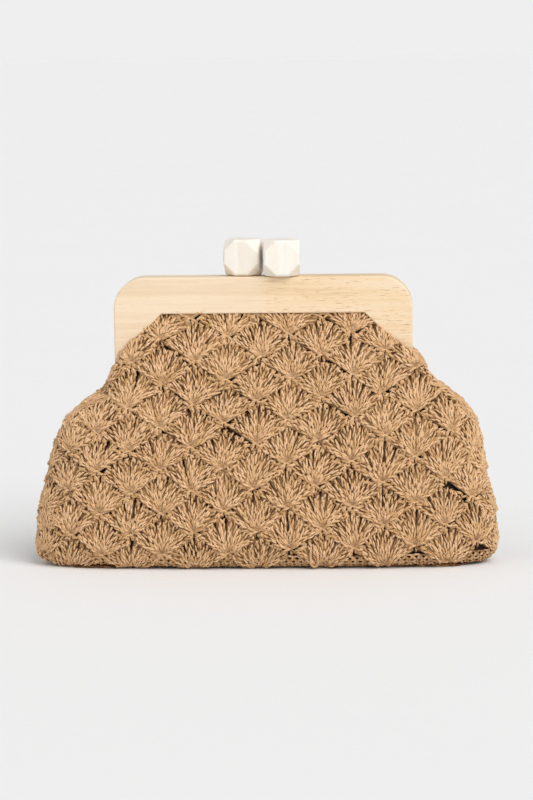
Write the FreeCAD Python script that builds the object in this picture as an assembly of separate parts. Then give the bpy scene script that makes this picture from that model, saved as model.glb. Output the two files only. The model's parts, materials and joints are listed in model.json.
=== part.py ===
"""Crocheted clutch purse with a two-part wooden frame and a pair of faceted bead clasps.

Frame: +X along the purse's width, +Y to its back, +Z up. The origin is the middle of the base, on the
surface that the purse stands on. All lengths are in millimetres.

How it is built: a crocheted pouch stands on a flat oval base. Its two upper panels and its lining are
glued, with a paper cord behind them, into a groove in the inner edge of two wooden frame halves. The
halves meet on the plane y = 0 and turn on two small butt hinges screwed to the ends of their legs. Each
half carries one bead on a steel stud, and the beads pass each other side by side to hold it shut.
"""

import FreeCAD, Part
import os
from math import copysign, cos, hypot, pi, radians, sin, tan

V = FreeCAD.Vector

# wooden frame halves
FRAME_WIDTH = 200.0
FRAME_TOP = 195.5
LEG_END = 116.5
HALF_THICKNESS = 11.0
SEAM_GAP = 0.4
CORNER_RADIUS = 21.0
BAR_HEIGHT = 24.5
LEG_WIDTH = 18.0
INNER_BEVEL = 14.0
EDGE_ROUND = 1.2

# groove for the fabric edge, in the inner edge of each half
GROOVE_DEPTH = 6.0
GROOVE_FRONT = 8.7
GROOVE_BACK = 4.4
GROOVE_START = LEG_END + 12.0
CORD_START = GROOVE_START + 1.0
CORD_RADIUS = 0.8
CORD_DEPTH = 4.9
CORD_Y = 5.3
CORD_BEND = 4.0

# beads and their studs
BEAD_SIZE = 24.4
BEAD_CORNER_CUT = 0.565
BEAD_ROUND = 2.0
BEAD_OFFSET_X = 12.9
BEAD_OFFSET_Y = 4.7
BEAD_LIFT = 0.3
BEAD_TURN = {"front": 2.0, "back": -8.0}
STUD_RADIUS = 1.5
STUD_IN_BEAD = 15.0
STUD_IN_FRAME = 14.0
GLUE_GAP = 0.05
CUT_PAST = 1.0
TINY = 1e-6

# butt hinges under the leg ends
LEAF_LENGTH = 15.0
LEAF_REACH = 10.4
LEAF_THICKNESS = 1.0
KNUCKLE_RADIUS = 1.6
KNUCKLE_GAP = 0.3
PIN_RADIUS = 0.8
PIN_CLEARANCE = 0.03
PIN_HEAD_RADIUS = 1.2
PIN_HEAD_LENGTH = 0.7
HINGE_DROP = 1.9
HINGE_Z = LEG_END - HINGE_DROP
SCREW_SPACING = 8.0
SCREW_Y = 6.2
SCREW_RADIUS = 0.9
SCREW_HEAD_RADIUS = 1.7
SCREW_LENGTH = 7.5

# crocheted pouch: height, half width and half depth of its outer sections, and how square their ends are
POUCH_SECTIONS = [
    (3.0, 141.0, 27.0, 4.6),
    (15.0, 153.5, 31.0, 4.5),
    (37.0, 153.0, 33.0, 4.5),
    (65.0, 147.5, 33.5, 4.2),
    (92.0, 141.5, 31.0, 4.4),
    (106.0, 133.5, 28.5, 5.2),
    (117.0, 120.0, 26.5, 6.0),
]
SECTION_POINTS = 32
CROCHET_THICKNESS = 3.0
BASE_FOOT = (136.0, 23.0, 4.8)
BOARD = (128.0, 18.0, 4.8)
BOARD_THICKNESS = 2.0
LAYER_GAP = 0.3
LINING_THICKNESS = 0.8
LINING_GAP = 0.6
LINING_TOP = 113.4

# upper panels, which swing with the frame halves
PANEL_LINE = [(7.75, 176.0), (7.75, 170.5), (13.9, 158.0), (20.5, 144.0), (24.6, 130.0), (25.5, 118.0)]
PANEL_EDGE_THICKNESS = 1.5
LINING_EDGE_THICKNESS = 0.65
GROOVED_POINTS = 2
PANEL_OUTLINE = [(66.5, 177.0), (66.5, 171.0), (79.5, 158.0), (98.0, 143.0), (99.5, 118.0)]
LINING_PANEL_OUTLINE = [(66.0, 177.0), (66.0, 171.0), (79.0, 158.0), (79.0, 114.5)]
LINING_PANEL_LINE = [(6.55, 176.0), (6.55, 171.0), (11.0, 158.0), (17.2, 144.0), (19.8, 130.0), (18.5, 114.5)]

SIDES = {"front": -1.0, "back": 1.0}
ENDS = {"left": -1.0, "right": 1.0}

HALF_WIDTH = FRAME_WIDTH / 2
INNER_HALF = HALF_WIDTH - LEG_WIDTH
INNER_TOP = FRAME_TOP - BAR_HEIGHT
SEAM = SEAM_GAP / 2
BEAD_HALF = BEAD_SIZE / 2
BEAD_Z = FRAME_TOP + BEAD_LIFT + BEAD_HALF
HINGE_X = HALF_WIDTH - LEG_WIDTH / 2


def prism(points, y_from, y_to):
    """A solid with an outline in the XZ plane, from one depth to another."""
    corners = [V(x, y_from, z) for x, z in points]
    outline = Part.Face(Part.makePolygon(corners + corners[:1]))
    return outline.extrude(V(0, y_to - y_from, 0))


def mirrored(points):
    """A half outline, from top to bottom at +X, closed with its mirror image at -X."""
    return points + [(-x, z) for x, z in reversed(points)]


def rounded_path(points, radius):
    """A wire of straight runs joined by tangent arcs of one radius."""
    edges = []
    start = points[0]
    for before, corner, after in zip(points, points[1:], points[2:]):
        incoming = (corner - before).normalize()
        outgoing = (after - corner).normalize()
        turn = incoming.getAngle(outgoing)
        cut = radius * tan(turn / 2)
        first = corner - incoming * cut
        last = corner + outgoing * cut
        middle = corner + (outgoing - incoming).normalize() * (hypot(radius, cut) - radius)
        edges.append(Part.LineSegment(start, first).toShape())
        edges.append(Part.Arc(first, middle, last).toShape())
        start = last
    edges.append(Part.LineSegment(start, points[-1]).toShape())
    return Part.Wire(edges)


def inner_outline(grow, bottom):
    """The half outline of the frame's inner edge, moved into the wood by a distance."""
    bevel = grow * tan(radians(22.5))
    top = INNER_TOP + grow
    side = INNER_HALF + grow
    return [(INNER_HALF - INNER_BEVEL + bevel, top), (side, INNER_TOP - INNER_BEVEL + bevel), (side, bottom)]


def outer_face():
    """The frame's outline with its rounded top corners and its open window, on the seam plane."""
    corner = CORNER_RADIUS * (1 - cos(radians(45)))
    low, high = LEG_END, FRAME_TOP
    left, right = -HALF_WIDTH, HALF_WIDTH
    edges = [
        Part.LineSegment(V(left, 0, low), V(left, 0, high - CORNER_RADIUS)),
        Part.Arc(
            V(left, 0, high - CORNER_RADIUS),
            V(left + corner, 0, high - corner),
            V(left + CORNER_RADIUS, 0, high),
        ),
        Part.LineSegment(V(left + CORNER_RADIUS, 0, high), V(right - CORNER_RADIUS, 0, high)),
        Part.Arc(
            V(right - CORNER_RADIUS, 0, high),
            V(right - corner, 0, high - corner),
            V(right, 0, high - CORNER_RADIUS),
        ),
    ]
    window = [(right, high - CORNER_RADIUS), (right, low)] + list(reversed(inner_outline(0, low)))
    window += [(-x, z) for x, z in inner_outline(0, low)] + [(left, low)]
    for (x0, z0), (x1, z1) in zip(window, window[1:]):
        edges.append(Part.LineSegment(V(x0, 0, z0), V(x1, 0, z1)))
    return Part.Face(Part.Wire([e.toShape() for e in edges]))


def soften(solid, y):
    """Rounds the edges of the frame's show face, the one at depth y, except round the leg ends."""
    show = [
        e for e in solid.Edges
        if all(abs(v.Y - y) < TINY for v in e.Vertexes) and any(v.Z > LEG_END + TINY for v in e.Vertexes)
    ]
    return solid.makeFillet(EDGE_ROUND, show)


def hinge_screw_places(side, end):
    """The middle of each screw of one hinge leaf, on the leg's end face."""
    return [
        V(end * HINGE_X + shift, side * SCREW_Y, LEG_END)
        for shift in (-SCREW_SPACING / 2, SCREW_SPACING / 2)
    ]


def bead_place(side):
    return V(-side * BEAD_OFFSET_X, side * BEAD_OFFSET_Y, BEAD_Z)


def frame_half(side):
    """One wooden half: an arch with a fabric groove, a stud hole on top and screw holes in the leg ends."""
    solid = outer_face().extrude(V(0, side * HALF_THICKNESS, 0))
    solid.translate(V(0, side * SEAM, 0))
    solid = soften(solid, side * (SEAM + HALF_THICKNESS))
    groove = prism(mirrored(inner_outline(GROOVE_DEPTH, GROOVE_START)), side * GROOVE_BACK, side * GROOVE_FRONT)
    solid = solid.cut(groove)
    place = bead_place(side)
    depth = STUD_IN_FRAME + GLUE_GAP
    hole = Part.makeCylinder(STUD_RADIUS + GLUE_GAP, depth + CUT_PAST, V(place.x, place.y, FRAME_TOP - depth))
    solid = solid.cut(hole)
    for end in ENDS.values():
        for spot in hinge_screw_places(side, end):
            pilot = Part.makeCylinder(SCREW_RADIUS + GLUE_GAP, SCREW_LENGTH + CUT_PAST, spot - V(0, 0, CUT_PAST))
            solid = solid.cut(pilot)
    return solid


def mouth_cord(side):
    """The paper cord that wedges the fabric edge into the groove, along the whole inner edge."""
    half = inner_outline(CORD_DEPTH, CORD_START)
    points = [V(x, side * CORD_Y, z) for x, z in reversed(half)]
    points += [V(-x, side * CORD_Y, z) for x, z in half]
    path = rounded_path(points, CORD_BEND)
    circle = Part.Wire(Part.makeCircle(CORD_RADIUS, points[0], V(0, 0, 1)))
    return path.makePipeShell([circle], True, True)


def bead(name, side):
    """A cube whose eight corners are cut back until its faces are nearly diamonds, with eased edges."""
    cube = Part.makeBox(BEAD_SIZE, BEAD_SIZE, BEAD_SIZE, V(-BEAD_HALF, -BEAD_HALF, -BEAD_HALF))
    reach = BEAD_SIZE * 2 * BEAD_CORNER_CUT
    tips = [V(0, 0, reach), V(0, 0, -reach)]
    ring = [V(reach, 0, 0), V(0, reach, 0), V(-reach, 0, 0), V(0, -reach, 0)]
    faces = []
    for tip in tips:
        for first, second in zip(ring, ring[1:] + ring[:1]):
            faces.append(Part.Face(Part.makePolygon([tip, first, second, tip])))
    octahedron = Part.makeSolid(Part.makeShell(faces))
    solid = cube.common(octahedron).removeSplitter()
    solid = solid.makeFillet(BEAD_ROUND, solid.Edges)
    solid.rotate(V(0, 0, 0), V(0, 0, 1), BEAD_TURN[name])
    solid.translate(bead_place(side))
    hole = Part.makeCylinder(
        STUD_RADIUS + GLUE_GAP,
        STUD_IN_BEAD + GLUE_GAP + CUT_PAST,
        bead_place(side) - V(0, 0, BEAD_HALF + CUT_PAST),
    )
    return solid.cut(hole)


def bead_stud(side):
    """A steel stud, glued into the frame below and into the bead above."""
    place = bead_place(side)
    foot = V(place.x, place.y, FRAME_TOP - STUD_IN_FRAME)
    return Part.makeCylinder(STUD_RADIUS, STUD_IN_FRAME + BEAD_LIFT + STUD_IN_BEAD, foot)


def knuckles(name, end):
    """Start and end in X of a leaf's knuckles: the front leaf has the middle one, the back leaf the outer two."""
    low = end * HINGE_X - LEAF_LENGTH / 2
    length = (LEAF_LENGTH - 2 * KNUCKLE_GAP) / 3
    places = [low + i * (length + KNUCKLE_GAP) for i in range(3)]
    return [(x, x + length) for x in (places[1:2] if name == "front" else places[0::2])]


def hinge_leaf(name, side, end):
    """A flat plate under the leg end, with its knuckles round the pin and two countersunk holes."""
    low = end * HINGE_X - LEAF_LENGTH / 2
    clear = KNUCKLE_RADIUS + KNUCKLE_GAP
    base = LEG_END - LEAF_THICKNESS
    y_low = min(side * clear, side * LEAF_REACH)
    solid = Part.makeBox(LEAF_LENGTH, LEAF_REACH - clear, LEAF_THICKNESS, V(low, y_low, base))
    for x0, x1 in knuckles(name, end):
        reach = clear + CUT_PAST
        strap_height = LEAF_THICKNESS - KNUCKLE_GAP
        strap = Part.makeBox(x1 - x0, reach, strap_height, V(x0, min(0, side * reach), base))
        barrel = Part.makeCylinder(KNUCKLE_RADIUS, x1 - x0, V(x0, 0, HINGE_Z), V(1, 0, 0))
        solid = solid.fuse(strap).fuse(barrel)
    bore_length = LEAF_LENGTH + 2 * CUT_PAST
    bore_start = V(low - CUT_PAST, 0, HINGE_Z)
    bore = Part.makeCylinder(PIN_RADIUS + PIN_CLEARANCE, bore_length, bore_start, V(1, 0, 0))
    solid = solid.cut(bore)
    for spot in hinge_screw_places(side, end):
        solid = solid.cut(hinge_screw(spot, GLUE_GAP))
    return solid.removeSplitter()


def hinge_screw(spot, grow):
    """A countersunk screw whose head is flush with the underside of the leaf."""
    head_foot = spot - V(0, 0, LEAF_THICKNESS)
    head = Part.makeCone(SCREW_HEAD_RADIUS + grow, SCREW_RADIUS + grow, LEAF_THICKNESS, head_foot)
    shank = Part.makeCylinder(SCREW_RADIUS + grow, SCREW_LENGTH - LEAF_THICKNESS, spot)
    return head.fuse(shank)


def hinge_screws(side):
    """The four identical screws of one half."""
    return Part.makeCompound(
        [hinge_screw(spot, 0) for end in ENDS.values() for spot in hinge_screw_places(side, end)]
    )


def hinge_pin(end):
    """The pin that both leaves turn on, with a riveted head at each end."""
    low = end * HINGE_X - LEAF_LENGTH / 2 - KNUCKLE_GAP
    length = LEAF_LENGTH + 2 * KNUCKLE_GAP
    along = V(1, 0, 0)
    pin = Part.makeCylinder(PIN_RADIUS, length, V(low, 0, HINGE_Z), along)
    for head_x in (low - PIN_HEAD_LENGTH, low + length):
        pin = pin.fuse(Part.makeCylinder(PIN_HEAD_RADIUS, PIN_HEAD_LENGTH, V(head_x, 0, HINGE_Z), along))
    return pin.removeSplitter()


def oval(z, half_width, half_depth, square):
    """A horizontal section of the pouch: nearly flat front and back, with rounded ends."""
    points = []
    for i in range(SECTION_POINTS):
        turn = 2 * pi * i / SECTION_POINTS
        x, y = sin(turn), cos(turn)
        depth = copysign((1 - abs(x) ** square) ** 0.5, y) if abs(x) < 1 else 0.0
        points.append(V(half_width * x, -half_depth * depth, z))
    curve = Part.BSplineCurve()
    curve.interpolate(points, PeriodicFlag=True)
    return Part.Wire([curve.toShape()])


def loft(sections):
    return Part.makeLoft([oval(*s) for s in sections], True, len(sections) == 2)


def inset_sections(inset, bottom, top):
    """The pouch's sections moved inwards, with straight-line sections at a bottom and a top height."""

    def between(z):
        for (z0, a0, b0, p0), (z1, a1, b1, p1) in zip(POUCH_SECTIONS, POUCH_SECTIONS[1:]):
            if z0 <= z <= z1:
                share = (z - z0) / (z1 - z0)
                half_width = a0 + share * (a1 - a0) - inset
                return (z, half_width, b0 + share * (b1 - b0) - inset, p0 + share * (p1 - p0))

    kept = [(z, a - inset, b - inset, p) for z, a, b, p in POUCH_SECTIONS if bottom < z < top]
    return [between(bottom)] + kept + [between(top)]


def crochet_pouch():
    """The crocheted wall of the pouch, from the base up to the hinge line."""
    bottom, top = POUCH_SECTIONS[0][0], POUCH_SECTIONS[-1][0]
    return loft(POUCH_SECTIONS).cut(loft(inset_sections(CROCHET_THICKNESS, bottom, top)))


def crochet_base():
    """The oval base, worked in tight single crochet."""
    return loft([(0.0, *BASE_FOOT), POUCH_SECTIONS[0]])


def base_board():
    """The stiff board between the crocheted base and the lining, which keeps the base flat."""
    floor = CROCHET_THICKNESS + LAYER_GAP
    return loft([(floor, *BOARD), (floor + BOARD_THICKNESS, *BOARD)])


def lining_pouch():
    """The lining's lower part, closed at the bottom and open at the hinge line."""
    floor = CROCHET_THICKNESS + BOARD_THICKNESS + 2 * LAYER_GAP
    outer = inset_sections(CROCHET_THICKNESS + LINING_GAP, floor, LINING_TOP)
    inset = CROCHET_THICKNESS + LINING_GAP + LINING_THICKNESS
    inner = inset_sections(inset, floor + LINING_THICKNESS, LINING_TOP)
    return loft(outer).cut(loft(inner))


def swung_panel(side, line, outline, thickness, edge_thickness):
    """An upper fabric panel: thin in the groove, then out in front of the leg, cut to its outline."""
    outer, inner = [], []
    for i, (y, z) in enumerate(line):
        y0, z0 = line[max(i - 1, 0)]
        y1, z1 = line[min(i + 1, len(line) - 1)]
        slope = hypot(y1 - y0, z1 - z0)
        normal = ((z0 - z1) / slope, (y1 - y0) / slope)
        if i == len(line) - 1:
            normal = (1.0, 0.0)
        half = (edge_thickness if i < GROOVED_POINTS else thickness) / 2
        outer.append(V(0, side * (y + normal[0] * half), z + normal[1] * half))
        inner.append(V(0, side * (y - normal[0] * half), z - normal[1] * half))
    edges = []
    for row in (outer, list(reversed(inner))):
        curve = Part.BSplineCurve()
        curve.interpolate(row)
        edges.append(curve.toShape())
    edges.insert(1, Part.LineSegment(outer[-1], inner[-1]).toShape())
    edges.append(Part.LineSegment(inner[0], outer[0]).toShape())
    band = Part.Face(Part.Wire(edges)).extrude(V(FRAME_WIDTH, 0, 0))
    band.translate(V(-HALF_WIDTH, 0, 0))
    return band.common(prism(mirrored(outline), side * SEAM, side * HALF_WIDTH))


def crochet_panel(side):
    return swung_panel(side, PANEL_LINE, PANEL_OUTLINE, CROCHET_THICKNESS, PANEL_EDGE_THICKNESS)


def lining_panel(side):
    return swung_panel(side, LINING_PANEL_LINE, LINING_PANEL_OUTLINE, LINING_THICKNESS, LINING_EDGE_THICKNESS)


def subparts():
    """Every sub-part of the purse, by name."""
    made = {
        "crochet_pouch": crochet_pouch(),
        "crochet_base": crochet_base(),
        "base_board": base_board(),
        "lining_pouch": lining_pouch(),
    }
    for end_name, end in ENDS.items():
        made[f"hinge_pin_{end_name}"] = hinge_pin(end)
    for name, side in SIDES.items():
        made[f"{name}_frame"] = frame_half(side)
        made[f"{name}_bead"] = bead(name, side)
        made[f"{name}_bead_stud"] = bead_stud(side)
        made[f"{name}_mouth_cord"] = mouth_cord(side)
        made[f"{name}_hinge_screws"] = hinge_screws(side)
        made[f"crochet_{name}_panel"] = crochet_panel(side)
        made[f"lining_{name}_panel"] = lining_panel(side)
        for end_name, end in ENDS.items():
            made[f"{name}_hinge_leaf_{end_name}"] = hinge_leaf(name, side, end)
    return made


def main():
    os.makedirs("parts", exist_ok=True)
    for name, shape in subparts().items():
        sound = shape.isValid() and all(s.isClosed() and s.Volume > 0 for s in shape.Solids)
        print(f"{name}: {len(shape.Solids)} solid(s), {shape.Volume / 1000:.2f} cm3, sound {sound}")
        shape.exportStep(os.path.join("parts", name + ".step"))


main()
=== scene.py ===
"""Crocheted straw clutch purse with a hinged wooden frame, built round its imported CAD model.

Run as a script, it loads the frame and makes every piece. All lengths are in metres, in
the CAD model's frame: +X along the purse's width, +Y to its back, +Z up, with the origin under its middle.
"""

import json
from math import cos, pi, radians, sin

import bmesh
import bpy
import numpy as np
from mathutils import Euler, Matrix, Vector

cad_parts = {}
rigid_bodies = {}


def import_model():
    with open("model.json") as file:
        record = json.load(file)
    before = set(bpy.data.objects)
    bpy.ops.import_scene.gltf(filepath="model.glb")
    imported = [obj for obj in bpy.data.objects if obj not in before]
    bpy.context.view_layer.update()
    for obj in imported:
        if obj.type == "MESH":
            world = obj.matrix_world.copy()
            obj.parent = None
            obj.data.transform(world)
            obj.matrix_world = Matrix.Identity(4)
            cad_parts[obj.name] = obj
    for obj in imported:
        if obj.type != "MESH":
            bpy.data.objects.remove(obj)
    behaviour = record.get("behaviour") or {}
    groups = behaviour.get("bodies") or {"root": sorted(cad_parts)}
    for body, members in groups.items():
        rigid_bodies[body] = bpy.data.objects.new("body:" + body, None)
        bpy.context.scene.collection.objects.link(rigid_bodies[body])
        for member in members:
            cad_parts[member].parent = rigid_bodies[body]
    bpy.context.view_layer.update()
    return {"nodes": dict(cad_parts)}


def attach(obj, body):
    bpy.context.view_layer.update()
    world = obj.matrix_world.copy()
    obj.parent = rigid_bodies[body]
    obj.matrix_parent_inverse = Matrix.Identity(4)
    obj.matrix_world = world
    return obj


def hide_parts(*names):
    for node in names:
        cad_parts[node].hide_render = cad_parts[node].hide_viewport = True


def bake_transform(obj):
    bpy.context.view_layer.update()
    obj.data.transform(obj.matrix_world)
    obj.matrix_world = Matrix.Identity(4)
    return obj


bl_info = {
    "name": "Crocheted Clutch Purse",
    "version": (1, 0, 0),
    "blender": (4, 5, 0),
    "location": "3D View > Sidebar > Purse",
    "description": "Builds a crocheted straw clutch purse with a wooden kiss-clasp frame",
    "category": "Add Mesh",
}

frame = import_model()

MM = 0.001
SIDES = {"front": -1.0, "back": 1.0}

# The outer face of the crochet, in sections from under the base up to the frame's groove: how deep it is in
# the middle, its height, its half width, how deep its side edge lies, and how square its ends are.
SECTIONS = np.array([
    (13.0, 1.0, 132.0, 0.0, 5.0),
    (19.5, 1.6, 143.0, 0.0, 5.0),
    (24.5, 4.2, 150.5, 0.0, 4.7),
    (28.4, 9.0, 154.4, 0.0, 4.5),
    (31.0, 16.0, 155.0, 0.0, 4.5),
    (32.4, 26.0, 154.6, 0.0, 4.5),
    (33.0, 37.0, 153.2, 0.0, 4.5),
    (33.4, 48.0, 150.6, 0.0, 4.4),
    (33.6, 58.0, 148.0, 0.0, 4.3),
    (33.4, 69.0, 145.6, 0.0, 4.2),
    (32.6, 80.0, 143.2, 0.0, 4.1),
    (31.2, 92.0, 139.2, 0.0, 4.3),
    (29.8, 101.0, 134.0, 0.0, 4.5),
    (28.4, 107.0, 128.6, 0.0, 4.7),
    (27.3, 112.0, 122.6, 0.0, 4.8),
    (26.3, 117.6, 115.6, 0.0, 4.6),
    (25.6, 123.0, 109.4, 1.5, 4.0),
    (24.7, 128.0, 106.4, 5.0, 3.6),
    (23.4, 134.0, 103.6, 9.5, 3.3),
    (21.8, 139.0, 101.0, 13.2, 3.1),
    (19.8, 145.0, 95.6, 14.4, 3.0),
    (16.9, 151.0, 89.2, 13.6, 3.0),
    (13.8, 158.0, 82.3, 10.2, 3.0),
    (10.6, 164.0, 75.8, 8.0, 3.0),
    (8.2, 169.5, 69.8, 7.2, 3.0),
    (7.2, 173.5, 67.0, 6.8, 3.0),
]) * (MM, MM, MM, MM, 1.0)
FOOT_ROW = 2  # distances up a side are measured from this section
LOWEST_FOOT = -9.0 * MM  # the lowest that a shell grows from, up the side
TOP_MARGIN = 4.0 * MM  # from the groove down to the highest shell's foot
EDGE_MARGINS = (-1.0 * MM, 4.0 * MM)  # how far past the side edge a shell may grow: on the seam, above it
BACK_SHIFT = 0.31  # of the pitch, between the lattices of the front and the back
SEAM_GAP = (0.55, 0.95)  # of the pitch: a row's last shell goes in a smaller gap, one is added in a larger
PART_HEIGHTS = [22.0 * MM, 52.0 * MM, 88.0 * MM, 120.0 * MM]  # where the crochet is parted into pieces
SEAM_TOP = (117.0 * MM, 124.0 * MM)  # between these heights the side seam opens into two curled edges
CURL_RADIUS = 2.5 * MM
FLOOR_CLEARANCE = 0.2 * MM

# How the purse has slumped: its shoulders pushed sideways and tilted, and its left rim lifted.
RIGHT_PUSH, LEFT_PUSH = 2.6 * MM, 1.8 * MM
SHOULDER_TILT = 0.024
RIM_LIFT = 1.0 * MM

LINING_SHELF = (110.0 * MM, 112.6 * MM)  # where the lining narrows to pass between the frame's legs
LINING_HALF = 80.0 * MM
LINING_EDGE = 5.0 * MM
LINING_FLOOR = 6.2 * MM
LINING_WAVE = 0.35 * MM
WINDOW_INSET = 2.0 * MM  # how far it stays inside the frame's inner window
WINDOW_EASE = (146.0 * MM, 158.0 * MM)
CLOTH_STEP = 2.5 * MM

GRID_STEP = 1.0 * MM
GRID_COLUMNS = 234  # grid steps from the middle to each end
LOW_LIMIT = (4.0 * MM, 3.5 * MM)  # where places near the grid's lower end slow down, and over what run
TOP_LIMIT = (3.0 * MM, 2.5 * MM)
TAIL = {"seam": 24.0 * MM, "curl": 7.0 * MM}  # how far places may run on past the side edge

RIM_ROWS = (-2.0 * MM, 1.3 * MM, 4.6 * MM)
RIM_OUT = 0.6 * MM
BASE_DEPTH, BASE_HALF, BASE_HEIGHT = 16.5 * MM, 136.0 * MM, 1.9 * MM
BASE_RINGS = 4
STITCH_SPACING, STITCH_ROW = 4.9 * MM, 4.1 * MM

# The loose loop's route on the front: across, up and out.
LOOP_ROUTE = np.array([
    (31.6, 16.0, 1.6), (31.0, 9.0, 3.8), (30.9, 3.0, 4.6), (32.4, 0.2, 4.7),
    (34.9, 0.6, 4.6), (36.0, 4.0, 4.3), (35.4, 10.0, 3.6), (34.2, 15.0, 1.6),
]) * MM


def lining_sections(inset):
    """The sections of the lining, which lies inside the crochet and passes between the frame's legs."""
    rows = [*map(tuple, SECTIONS[FOOT_ROW:]), *between_rows(*LINING_SHELF)]
    rows = np.array(sorted(rows, key=lambda row: row[1]))
    above = rows[:, 1] > LINING_SHELF[0] + MM
    rows[:, 0] -= inset
    sideways = inset + (WINDOW_INSET - inset) * ease(*WINDOW_EASE, rows[:, 1])
    rows[:, 2] = np.where(above, np.minimum(rows[:, 2] - sideways, LINING_HALF), rows[:, 2] - inset)
    rows[:, 3] = np.where(above, np.minimum(LINING_EDGE, rows[:, 0] - MM), 0.0)
    return rows


def between_rows(*heights):
    """Sections at other heights, read between the given ones."""
    rows = SECTIONS[FOOT_ROW:]
    return [tuple(np.interp(z, rows[:, 1], column) for column in rows.T) for z in heights]


def ease(low, high, x):
    """0 below low, 1 above high and a smooth step between."""
    t = np.clip((x - low) / (high - low), 0, 1)
    return t * t * (3 - 2 * t)


def hump(low, risen, falling, high, x):
    """0 outside low and high, 1 from risen to falling, given in millimetres."""
    return ease(low * MM, risen * MM, x) * (1 - ease(falling * MM, high * MM, x))


class Side:
    """The outer face of one side of the pouch.

    It turns places laid out flat, as across, up and out, into real ones.
    """

    def __init__(self, name, rows=SECTIONS):
        self.sign = SIDES[name]
        run = np.hypot(*np.diff(rows[:, :2], axis=0).T)
        run = np.concatenate([[0], np.cumsum(run)])
        run -= run[FOOT_ROW]
        self.low, self.top = run[0], run[-1]
        self.up = np.arange(self.low, self.top + GRID_STEP / 2, GRID_STEP)
        table = np.stack([np.interp(self.up, run, rows[:, i]) for i in range(rows.shape[1])], axis=1)
        self.table = self.rounded(table)
        self.height = self.table[:, 1]
        self.columns = GRID_COLUMNS
        lines = [self.section(row) for row in self.table]
        self.edge = np.array([edge for _, edge in lines])
        half = np.array([line for line, _ in lines])
        mirror = half[:, :0:-1] * (-1, 1, 1)
        self.grid = np.concatenate([mirror, half], axis=1)
        along_up = np.gradient(self.grid, axis=0)
        along_across = np.gradient(self.grid, axis=1)
        normal = np.cross(along_across, along_up)
        length = np.linalg.norm(normal, axis=2, keepdims=True)
        self.normals = self.filled(normal / np.maximum(length, 1e-12), length[..., 0] > 1e-9)

    @staticmethod
    def rounded(table, reach=4):
        """The table with its corners rounded, its ends kept."""
        weights = np.hanning(2 * reach + 3)[1:-1]
        weights /= weights.sum()
        padded = np.concatenate([np.repeat(table[:1], reach, 0), table, np.repeat(table[-1:], reach, 0)])
        return np.stack([np.convolve(padded[:, i], weights, "valid") for i in range(table.shape[1])], axis=1)

    def section(self, row):
        """Points a grid step apart from a section's middle to past its side edge, and the run to the edge."""
        depth, height, half, edge_depth, square = row
        turn = np.linspace(0, pi / 2, 300)
        x = half * np.sin(turn)
        d = edge_depth + (depth - edge_depth) * np.sqrt(np.maximum(1 - np.sin(turn) ** square, 0))
        back = turn[:-1][::-1]
        wrap_x = half * np.sin(back)
        wrap_d = edge_depth - (depth + edge_depth) * np.sqrt(np.maximum(1 - np.sin(back) ** square, 0))
        round_run = CURL_RADIUS * pi / 2
        wrap_run = np.cumsum(np.hypot(np.diff(wrap_x, prepend=half), np.diff(wrap_d, prepend=edge_depth)))
        angle = np.minimum(wrap_run, round_run) / CURL_RADIUS
        curl_x = half - CURL_RADIUS * (1 - np.cos(angle)) - np.maximum(wrap_run - round_run, 0)
        curl_d = edge_depth - CURL_RADIUS * np.sin(angle)
        share = ease(*SEAM_TOP, height)
        x = np.concatenate([x, wrap_x + (curl_x - wrap_x) * share])
        d = np.concatenate([d, wrap_d + (curl_d - wrap_d) * share])
        run = np.concatenate([[0], np.cumsum(np.hypot(np.diff(x), np.diff(d)))])
        edge = run[len(turn) - 1]
        at = np.arange(self.columns + 1) * GRID_STEP
        line = np.stack([np.interp(at, run, x), np.interp(at, run, d), np.full(len(at), height)], axis=1)
        line[:, 1] *= self.sign
        return line, edge

    def filled(self, normal, good):
        """Outward normals. Where the grid ends in one point they are the nearest good ones inwards."""
        middle = self.columns
        normal = normal * -self.sign
        for step in (1, -1):
            for column in range(middle, 2 * middle + 1) if step > 0 else range(middle, -1, -1):
                bad = ~good[:, column]
                normal[bad, column] = normal[bad, column - step]
        return normal

    def edge_at(self, up):
        return np.interp(up, self.up, self.edge)

    def height_at(self, up):
        return np.interp(up, self.up, self.height)

    def wrap(self, flat):
        """Real places for flat ones, given as rows of across, up and out."""
        across, up, out = np.array(flat, float).T
        ends = ((self.low + LOW_LIMIT[0], -1, LOW_LIMIT[1]), (self.top - TOP_LIMIT[0], 1, TOP_LIMIT[1]))
        for end, sign, room in ends:
            up = np.where(sign * up > sign * end, end + room * np.tanh((up - end) / room), up)
        edge = self.edge_at(up)
        tail = TAIL["seam"] + (TAIL["curl"] - TAIL["seam"]) * ease(*SEAM_TOP, self.height_at(up))
        size = np.abs(across)
        size = np.where(size > edge, edge + tail * np.tanh((size - edge) / tail), size)
        across = np.sign(across) * size
        row = np.clip((up - self.low) / GRID_STEP, 0, len(self.up) - 1.001)
        column = np.clip(across / GRID_STEP + self.columns, 0, self.grid.shape[1] - 1.001)
        i, j = row.astype(int), column.astype(int)
        fi, fj = (row - i)[:, None], (column - j)[:, None]

        def between(grid):
            low = grid[i, j] * (1 - fj) + grid[i, j + 1] * fj
            high = grid[i + 1, j] * (1 - fj) + grid[i + 1, j + 1] * fj
            return low * (1 - fi) + high * fi

        normal = between(self.normals)
        normal /= np.maximum(np.linalg.norm(normal, axis=1, keepdims=True), 1e-9)
        places = between(self.grid) + normal * out[:, None]
        places[:, 2] = np.maximum(places[:, 2], FLOOR_CLEARANCE)
        return places


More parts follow.
